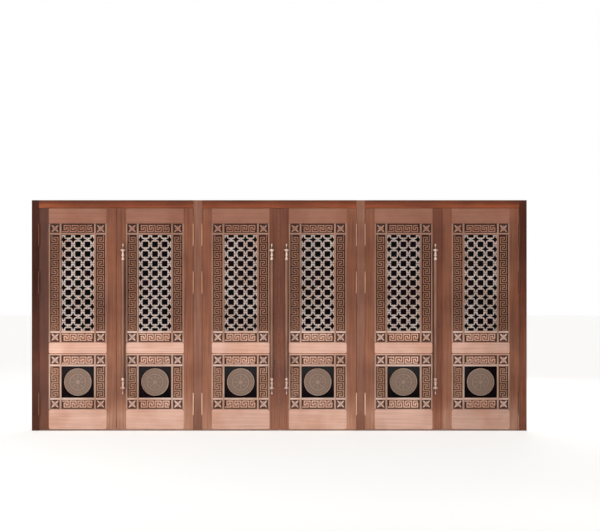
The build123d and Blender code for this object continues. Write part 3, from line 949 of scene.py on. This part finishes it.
# Glazing beads. Square bronze beads are mitred inside the lip at the back of each pane, and held by
# small screws.
LIP = 16  # the leaf's frame laps the pane by this much at the back
HALF_LIP = HALF_PANEL - LIP
BEAD, BEAD_ARRIS, BEAD_FRONT, BEAD_BACK = 13, 4, -56, -43  # width, arris taken off, and depths
BEAD_PLAY = 0.5  # between a bead and the lip
SCREW_SPACING = 220  # about how far apart the screws are


def bead_ring(shape, bottom, top):
    """A mitred frame of beads inside an opening of the leaf's back, with its inner arris taken off."""
    # distance in from the opening's edge, and depth
    section = [(BEAD_PLAY, BEAD_FRONT), (BEAD, BEAD_FRONT), (BEAD, BEAD_BACK - BEAD_ARRIS)]
    section += [(BEAD - BEAD_ARRIS, BEAD_BACK), (BEAD_PLAY, BEAD_BACK)]
    rings = []
    for side, z in ((-1, bottom), (1, bottom), (1, top), (-1, top)):
        inwards = 1 if z == bottom else -1
        rings.append([shape.verts.new((side * (HALF_LIP - d), y, z + inwards * d)) for d, y in section])
    skinned(shape, rings + rings[:1])


beads, screw_points = bmesh.new(), []
for bottom, top in PANELS:
    low, high = bottom + LIP, top - LIP
    bead_ring(beads, low, high)
    middle_of_bead = (BEAD - BEAD_ARRIS) / 2
    tall, wide = high - low - 2 * middle_of_bead, 2 * (HALF_LIP - middle_of_bead)
    for length, is_upright in ((tall, True), (wide, False)):
        number = round(length / SCREW_SPACING)
        for k in range(number):
            along = (k + 0.5) * length / number - length / 2
            for side in (-1, 1):
                if is_upright:
                    screw_points.append((side * wide / 2, BEAD_BACK, (low + high) / 2 + along))
                else:
                    screw_points.append((along, BEAD_BACK, (low + high) / 2 + side * tall / 2))
bmesh.ops.recalc_face_normals(beads, faces=beads.faces)
# Drawn bronze, brushed and toned lightly, as it is seen only from inside: even and a little shiny.
bead_bronze = metal("glazing_bead_bronze", "#8E5C48", "#5E382A", MARKS_UP, roughness=0.38)
# Turned stainless steel: pale grey and bright. Its turning marks are far too fine to show, and are
# drawn as a coarse shimmer.
STEEL_GRAIN = 11.11
screw_steel = metal(
    "bead_screw_steel",
    "#A8A29A",
    "#7E7872",
    (STEEL_GRAIN, STEEL_GRAIN, STEEL_GRAIN),
    metallic=0.9,
    roughness=0.3,
)
bead_screws, given = new_tree("bead_screws", {"Geometry": "Geometry", "Screw": "Object"})
driven = add(
    bead_screws,
    "GeometryNodeInstanceOnPoints",
    {
        "Points": given["Geometry"],
        "Instance": copied(bead_screws, given, "Screw"),
        "Rotation": (-math.pi / 2, 0, 0),
    },
)
close_tree(bead_screws, driven.outputs[0], screw_steel)
BEAD_SCREW = [(3.4, -1), (3.4, 0.1), (3, 0.3), (1.2, 0.3), (1, -0.6)]  # a head with a socket in it
loose_screw = part("loose_screw", turned(BEAD_SCREW, sides=10))
screws = grown(bead_screws, screw_points, {"Screw": loose_screw})
bpy.data.objects.remove(loose_screw)
for leaf in LEAVES:
    hung(beads, leaf, f"leaf_{leaf}_glazing_beads", [bead_bronze])
    hung(screws, leaf, f"leaf_{leaf}_bead_screws", [screw_steel], smooth=40)
beads.free()
screws.free()


# Medallions. A cast bronze disc is bonded to the lower pane of each leaf: a raised rim, a band of small
# lobes, a ring, a flower of long petals and a boss, all in low relief.
FIELD = 8.4  # height above the pane of the floor that petals and lobes stand on
# from the edge to the middle, as radius and height above the pane
RIM = [(176, 0), (178, 2), (178, 11.5), (176.5, 13.2), (173, 14), (168.5, 13.4), (166, 10.5), (165, 8)]
RING = [(110, 8), (108.5, 10.4), (106, 11.2), (102, 11.2), (99.5, 10.4), (98, 8.2)]
BOSS = [(31, 8.2), (30, 9.4), (26, 10.2), (19, 10.4), (17, 9.6), (14, 10), (8, 10.8), (2, 11)]
# Cast bronze as it left the sand, only wire-brushed: dull and greyish, a little brighter on the relief,
# with the brush's fine scratches drawn as broad mottling.
WIRE_MARK = 38.46
medallion_bronze = metal(
    "cast_medallion_bronze",
    "#BFA08E",
    "#9C7E6C",
    (WIRE_MARK, WIRE_MARK, WIRE_MARK),
    "#7C6657",
    (-0.072, -0.0768),
    metallic=0.4,
    roughness=0.5,
)
disc = turned(RIM + RING + BOSS, sides=96)
medals, given = new_tree(
    "medals",
    {
        "Geometry": "Geometry",
        "Disc": "Object",
        "Petal": "Object",
        "Lobe": "Object",
        "Petals": "Int",
        "Lobes": "Int",
    },
)
whole_disc = copied(medals, given, "Disc")
relief = rings_of(medals, given, (("Petals", "Petal", 0), ("Lobes", "Lobe", 0)))
close_tree(medals, facing(medals, given, [whole_disc, *relief]), medallion_bronze)


def lobed(start, end, width, rise):
    """One low petal of a medallion, from start to end along x."""
    shape = petal(end - start, width, rise)
    bmesh.ops.translate(shape, verts=shape.verts, vec=(start, 0, FIELD))
    return shape


loose = {
    "Disc": part("disc", disc),
    "Petal": part("long_petal", lobed(start=28, end=96, width=30, rise=1.7)),
    "Lobe": part("lobe", lobed(start=114, end=163, width=25, rise=1.5)),
}
medallion = grown(medals, [(0, BORDER_BACK, sum(PANELS[0]) / 2)], {**loose, "Petals": 8, "Lobes": 28})
for made in loose.values():
    bpy.data.objects.remove(made)
for leaf in LEAVES:
    piece = hung(medallion, leaf, f"leaf_{leaf}_relief", [medallion_bronze], smooth=35)
    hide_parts(f"leaf_{leaf}_medallion")
medallion.free()


# Hinges. Three long barrel hinges of turned bronze carry each leaf. The lower knuckle and its plate are
# fixed to the frame, the upper ones to the leaf, with screws that show once the leaf is open.
HALF_LEAF, HALF_SIDE_GAP = 500, 1.5  # a hinge's axis lies in the middle of the gap beside its leaf
HINGE_BOTTOMS = (192, 1772, 2392)  # above the leaf's bottom edge
KNUCKLE, KNUCKLE_GAP = 141.9, 0.2
WING, WING_GAP, WING_FRONT, WING_BACK = 4, 0.6, 8, 51.5  # plate: thickness, gap, depths behind the axis
WING_EASE = 0.4
AXIS_Y = -101.5
# the domed cap and the groove above it, then the knuckle's open end
CAP = [(3, -5), (7, -4.2), (9.6, -2.2), (10.2, 0), (11, 0.8), (11, 5), (10.4, 5.8), (10.4, 7), (11, 7.8)]
OPEN_END = [(11, KNUCKLE - 0.8), (10.2, KNUCKLE)]
HINGE_SCREWS = ((24, 20), (40, 54), (24, 88), (40, 122))  # behind the axis, and above the plate's foot
HINGE_SCREW = [(4.4, -1), (4.4, 0.05), (4, 0.15), (1.7, 0.15), (1.4, -0.8)]


def copied_into(shape, other, where):
    """Adds a copy of another shape to a shape, placed by a matrix."""
    mesh = bpy.data.meshes.new("copy")
    other.to_mesh(mesh)
    mesh.transform(where)
    shape.from_mesh(mesh)
    bpy.data.meshes.remove(mesh)


def hinge_half(is_upper, side):
    """One knuckle with its plate; side is -1 where the plate lies to the left of the axis."""
    steps = CAP + OPEN_END
    if is_upper:
        steps = [(r, 2 * KNUCKLE + KNUCKLE_GAP - h) for r, h in steps]
    shape = turned(steps, sides=24)
    low = KNUCKLE + KNUCKLE_GAP if is_upper else 0
    near, far = side * WING_GAP / 2, side * (WING_GAP / 2 + WING)
    loops = []
    for y, ease in ((WING_FRONT, 0), (WING_BACK - WING_EASE, 0), (WING_BACK, WING_EASE)):
        x0, x1 = near + side * ease, far - side * ease
        z0, z1 = low + ease, low + KNUCKLE - ease
        loops.append([(x0, y, z0), (x1, y, z0), (x1, y, z1), (x0, y, z1)])
    layered(shape, loops)
    screw = turned(HINGE_SCREW, sides=12)
    turn = Matrix.Rotation(-side * math.pi / 2, 4, "Y")
    for y, z in HINGE_SCREWS:
        copied_into(shape, screw, Matrix.Translation((near, y, low + z)) @ turn)
    screw.free()
    bmesh.ops.recalc_face_normals(shape, faces=shape.faces)
    return shape


def axis_x(leaf):
    """A leaf's hinge axis, across the door, in millimetres."""
    from_middle = HALF_LEAF + HALF_SIDE_GAP
    return 1000 * leaf_middle(leaf)[0] + (from_middle if leaf % 2 == 0 else -from_middle)


# Turned bronze, polished and oiled: bright and yellower than the sheet, with painted shade on the
# barrel's sides, so that only its front shows bright, as on a lit round barrel. The upper ones are
# painted darker, for shade from above, and the outermost ones for the shade of the walls beside the doors.
HINGE_FILMS = (("#D2BEB4", "Z", 1.0, 1.8), ("#8A7064", "X", -3, -3.06), ("#8A7064", "X", 3, 3.06))
HINGE_MARKS = (MARK_GAP, MARK_GAP, 333.3)
hinge_bronze = metal(
    "bright_hinge_bronze",
    "#F0C6A8",
    "#CC9E84",
    HINGE_MARKS,
    "#5A3626",
    (-0.106, -0.1105),
    films=HINGE_FILMS,
    metallic=0.6,
)
hinges, given = new_tree("hinges", {"Geometry": "Geometry", "Half": "Object"})
halves = add(
    hinges,
    "GeometryNodeInstanceOnPoints",
    {"Points": given["Geometry"], "Instance": copied(hinges, given, "Half")},
)
close_tree(hinges, halves.outputs[0], hinge_bronze)
for body, is_upper, leaves in [("frame", False, LEAVES)] + [(f"leaf_{n}", True, (n,)) for n in LEAVES]:
    joined = bmesh.new()
    for side in (-1, 1):
        # leaves with odd numbers hang on their left edge: there the frame's plate is on the left
        hung_left = (side < 0) != is_upper
        points = [
            (axis_x(leaf), AXIS_Y, 1000 * LEAF_BOTTOM + bottom)
            for leaf in leaves
            if (leaf % 2 == 1) == hung_left
            for bottom in HINGE_BOTTOMS
        ]
        if not points:
            continue
        loose_half = part("half", hinge_half(is_upper, side))
        made = grown(hinges, points, {"Half": loose_half})
        bpy.data.objects.remove(loose_half)
        copied_into(joined, made, Matrix())
        made.free()
    mesh = bpy.data.meshes.new(body)
    joined.to_mesh(mesh)
    joined.free()
    mesh.transform(Matrix.Scale(0.001, 4))
    mesh.shade_smooth()
    mesh.set_sharp_from_angle(angle=math.radians(35))
    piece = shown(f"{body}_hinge_halves", mesh, [hinge_bronze], body)
    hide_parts(f"{body}_hinges")


# Weather strips. A thin strip of spring bronze, folded to a V, is pinned along the edge of each leaf
# that closes first and bears on the leaf that closes on it, so that no light shows between them.
STRIP_GAUGE, STRIP_REACH = 0.5, 3.8  # the meeting gap is 4 mm
STRIP_ENDS = (6, 2874)  # above the leaf's bottom edge
# the fold faces the street; from the pinned leg round the fold to the free leg, then back inside
strip_section = [(0, -74), (0, -83), (0.6, -84), (1.6, -84), (STRIP_REACH, -74)]
strip_section += [(STRIP_REACH - STRIP_GAUGE, -74), (1.35, -83.4), (0.8, -83.4), (STRIP_GAUGE, -82.8)]
strip_section += [(STRIP_GAUGE, -74)]
# Rolled bronze, hard and untoned but dull with dust: a soft brown line in the gap.
strip_bronze = metal("spring_strip_bronze", "#8E5E4C", "#6E4436", MARKS_UP, roughness=0.55)
for leaf, side in ((1, 1), (4, -1), (6, -1)):
    strip = bmesh.new()
    edge = side * HALF_LEAF
    layered(strip, [[(edge + side * reach, y, z) for reach, y in strip_section] for z in STRIP_ENDS])
    bmesh.ops.recalc_face_normals(strip, faces=strip.faces)
    hung(strip, leaf, f"leaf_{leaf}_weather_strip", [strip_bronze])
    strip.free()


# Pull bars. Turned bronze bars on the four leaves that open by hand, with a pendant, a ring and a beaded
# collar at each end, held off the stile by two posts on round plates screwed from behind.
PULL_INSET = 93  # from the leaf's free edge
PULL_LENGTH, PULL_LOW, PULL_Y = 1964, 458, -155  # the low end is above the leaf's bottom edge
RING_MIDDLE = 89.5  # from the end; the posts stand here
# from the tip of an end to the bar, as radius and height
PENDANT = [(1.5, 0), (5.5, 1.4), (9, 4.5), (12, 9), (13.6, 15), (13.4, 22), (12, 30), (10.2, 40)]
NECK = [(9.2, 50), (8.8, 58), (9.6, 60), (10.4, 63), (9.6, 66), (9, 68), (9.2, 73)]
PULL_RING = [(14, 76), (24, 77), (30, 79), (32.4, 83), (33, RING_MIDDLE), (32.4, 96), (30, 100), (24, 102)]
VASE = [(18, 103.5), (15.4, 107), (14.8, 113), (15, 119), (16, 128), (18, 142), (20, 154), (21.6, 163)]
COLLAR = [(20.8, 166), (14, 169), (12.4, 173), (14, 180), (19.5, 187), (21, 191), (22, 194)]
BEAD_RING = [(22.8, 199), (22.8, 207), (22, 212), (20.4, 214.6), (20.4, 217)]
BAR_END = [(19.6, 215), (20.6, 217), (21, 219)]
# from inside the ring to the leaf's face, as radius and distance from the bar's axis
POST = [(9, 33), (10.4, 30), (10, 40), (9.6, 48), (10.4, 54), (11.4, 57)]
ROSE = [(14, 58), (22, 58.4), (24.2, 59.2), (25, 61), (25, 65)]
# Turned bronze, handled daily: the toning is worn to a warm brown with the shine of skin grease, and
# fine rubbing marks run along the bar, drawn a hundred times coarser than they are. Its colour is
# painted darker on the bar's sides, as shade on a lit round bar.
RUB_GAP, RUB_LENGTH = 16.67, 400
pull_bronze = metal(
    "handled_pull_bronze",
    "#A17863",
    "#7A5645",
    (RUB_GAP, RUB_GAP, RUB_LENGTH),
    "#5C3C2E",
    (-0.157, -0.164),
    metallic=0.4,
    roughness=0.45,
)
# The same metal turned and buffed on the lathe, with no toning left: pale, and the shiniest on the
# doors, with the buff's fine marks drawn as soft mottling. Its colour is painted dark in the necks and
# grooves and on the sides, as shade on the lit turned shape.
BUFF_MARK = 25
finial_bronze = metal(
    "polished_finial_bronze",
    "#F4DECF",
    "#D4B29F",
    (BUFF_MARK, BUFF_MARK, BUFF_MARK),
    "#5A3828",
    (-0.16, -0.17),
    roughness=0.28,
)
bar = turned(BAR_END + [(r, PULL_LENGTH - h) for r, h in BAR_END[::-1]], sides=32)
lower_end = turned(PENDANT + NECK + PULL_RING + VASE + COLLAR + BEAD_RING, sides=32)
upper_end = lower_end.copy()
turn_over = Matrix.Translation((0, 0, PULL_LENGTH)) @ Matrix.Scale(-1, 4, (0, 0, 1))
bmesh.ops.transform(upper_end, matrix=turn_over, verts=upper_end.verts)
bmesh.ops.reverse_faces(upper_end, faces=upper_end.faces)
post = turned(POST + ROSE, sides=28)
to_leaf = Matrix.Rotation(-math.pi / 2, 4, "X")
for leaf in (2, 3, 4, 5):
    x = (HALF_LEAF - PULL_INSET) * (1 if leaf % 2 else -1)
    foot = Matrix.Translation((x, PULL_Y, PULL_LOW))
    finials = [(lower_end, foot), (upper_end, foot)]
    for height in (RING_MIDDLE, PULL_LENGTH - RING_MIDDLE):
        finials.append((post, foot @ Matrix.Translation((0, 0, height)) @ to_leaf))
    for name, shapes, finish in (
        ("bar", [(bar, foot)], pull_bronze),
        ("finials", finials, finial_bronze),
    ):
        joined = bmesh.new()
        for shape, where in shapes:
            copied_into(joined, shape, where)
        piece = hung(joined, leaf, f"leaf_{leaf}_pull_{name}", [finish], smooth=40)
        joined.free()
    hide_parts(f"leaf_{leaf}_pull")


# Locks and bolts. Brass lock cylinders with a keyway, held by a screw through the stile's edge, and
# square steel bolts that slide in the meeting stiles. Only one cylinder shows in the street face.
BRASS_MARKS = (16.67, 16.67, 16.67)  # mm; tool marks, drawn as a coarse mottling
DRAWN_MARKS = (STEEL_GRAIN, STEEL_GRAIN, 166.7)

# Machined brass: yellow and bright inside, and dark brown on the one that faces the street.
brass = metal("lock_brass", "#A88A50", "#5E4A2A", BRASS_MARKS, metallic=0.8, roughness=0.35)
dark_brass = metal("dark_keyhole_brass", "#4A3826", "#2A1E14", BRASS_MARKS, metallic=0.6, roughness=0.4)
# Cold-drawn steel: cool grey and bright, with the die's lines drawn coarse along the upright bolts.
steel = metal("drawn_bolt_steel", "#B4B6B8", "#8C8E90", DRAWN_MARKS, metallic=0.9, roughness=0.32)
ironwork = {f"leaf_{leaf}_lock_bolt": steel for leaf in (2, 3, 5)}
ironwork |= {f"leaf_{leaf}_lock_cylinder": dark_brass if leaf == 3 else brass for leaf in (2, 3, 5)}
ironwork |= {f"leaf_{leaf}_{end}_bolt": steel for leaf in (1, 4, 6) for end in ("top", "bottom")}
for node, finish in ironwork.items():
    finished(node, finish)


# Paving and light. The doors stand on pale stone paving that throws light up at their lower half. A
# long soft lamp lies low in front for that light, a fainter one hangs high for the sky's, one stands at
# the left and one behind. The background is white to the eye, in gloss and through glass.
PAVING_REACH, PAVING_Z = 40, -0.001
reach = [(-PAVING_REACH, -PAVING_REACH), (PAVING_REACH, -PAVING_REACH)]
reach += [(PAVING_REACH, PAVING_REACH), (-PAVING_REACH, PAVING_REACH)]
floor_mesh = bpy.data.meshes.new("paving")
floor_mesh.from_pydata([(x, y, PAVING_Z) for x, y in reach], [], [(0, 1, 2, 3)])
floor = bpy.data.objects.new("paving", floor_mesh)
scene.collection.objects.link(floor)


def seen_rays(tree):
    """1 for the rays by which the background is seen, directly, in gloss or through glass."""
    rays = add(tree, "ShaderNodeLightPath").outputs
    seen = add(
        tree,
        "ShaderNodeMath",
        {0: rays["Is Camera Ray"], 1: rays["Is Glossy Ray"]},
        operation="MAXIMUM",
    )
    return add(
        tree,
        "ShaderNodeMath",
        {0: seen.outputs[0], 1: rays["Is Transmission Ray"]},
        operation="MAXIMUM",
    ).outputs[0]


# Sawn limestone, pale and dull with a fine speckle. It glows to the eye alone, so that it meets the
# white background without an edge and still holds the doors' shadow.
SPECKLE = 16.67  # mm; of shell pieces, drawn several times coarser than they are
stone = bpy.data.materials.new("pale_paving_stone")
stone.use_nodes = True
tree = stone.node_tree
place = add(tree, "ShaderNodeTexCoord").outputs["Object"]
speckle = add(tree, "ShaderNodeTexNoise", {"Vector": place, "Scale": 1000 / SPECKLE, "Detail": 4})
pale = add(
    tree,
    "ShaderNodeMix",
    {0: speckle.outputs["Fac"], 6: linear("#DAD6CF"), 7: linear("#EAE7E1")},
    data_type="RGBA",
)
glow = add(tree, "ShaderNodeMapRange", {"Value": seen_rays(tree), "To Min": 0, "To Max": 0.7})
stone_shader = tree.nodes["Principled BSDF"]
tree.links.new(pale.outputs[2], stone_shader.inputs["Base Color"])
tree.links.new(glow.outputs["Result"], stone_shader.inputs["Emission Strength"])
stone_shader.inputs["Emission Color"].default_value = linear("#FFFFFF")
stone_shader.inputs["Roughness"].default_value = 0.8
floor_mesh.materials.append(stone)
floor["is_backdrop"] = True


def lamp(name, place, aim, width, height, watts, spread=180):
    """A soft rectangular lamp that shines from place towards aim, within a spread in degrees."""
    data = bpy.data.lights.new(name, "AREA")
    data.shape = "RECTANGLE"
    data.size, data.size_y, data.energy = width, height, watts
    data.spread = math.radians(spread)
    made = bpy.data.objects.new(name, data)
    scene.collection.objects.link(made)
    made.location = place
    made.rotation_euler = (Vector(aim) - Vector(place)).to_track_quat("-Z", "Y").to_euler()


lamp("low_lamp", (-2, -7, 0.35), (-2, 0, 0.75), width=10.6, height=0.6, watts=28, spread=62)
lamp("sky_lamp", (0, -6, 5), (0, 0, 3), width=9, height=0.8, watts=20, spread=40)
lamp("side_lamp", (-6.5, -6, 2.2), (-2, 0, 1.1), width=2, height=2, watts=120)
lamp("back_lamp", (2, 7, 5), (0, 0, 1.5), width=6, height=3, watts=200)

world = bpy.data.worlds.new("sky")
scene.world = world
world.use_nodes = True
tree = world.node_tree
strength = add(tree, "ShaderNodeMapRange", {"Value": seen_rays(tree), "To Min": 0.22, "To Max": 1.0})
sky = tree.nodes["Background"]
sky.inputs["Color"].default_value = linear("#FFFFFF")
tree.links.new(strength.outputs["Result"], sky.inputs["Strength"])

low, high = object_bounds()
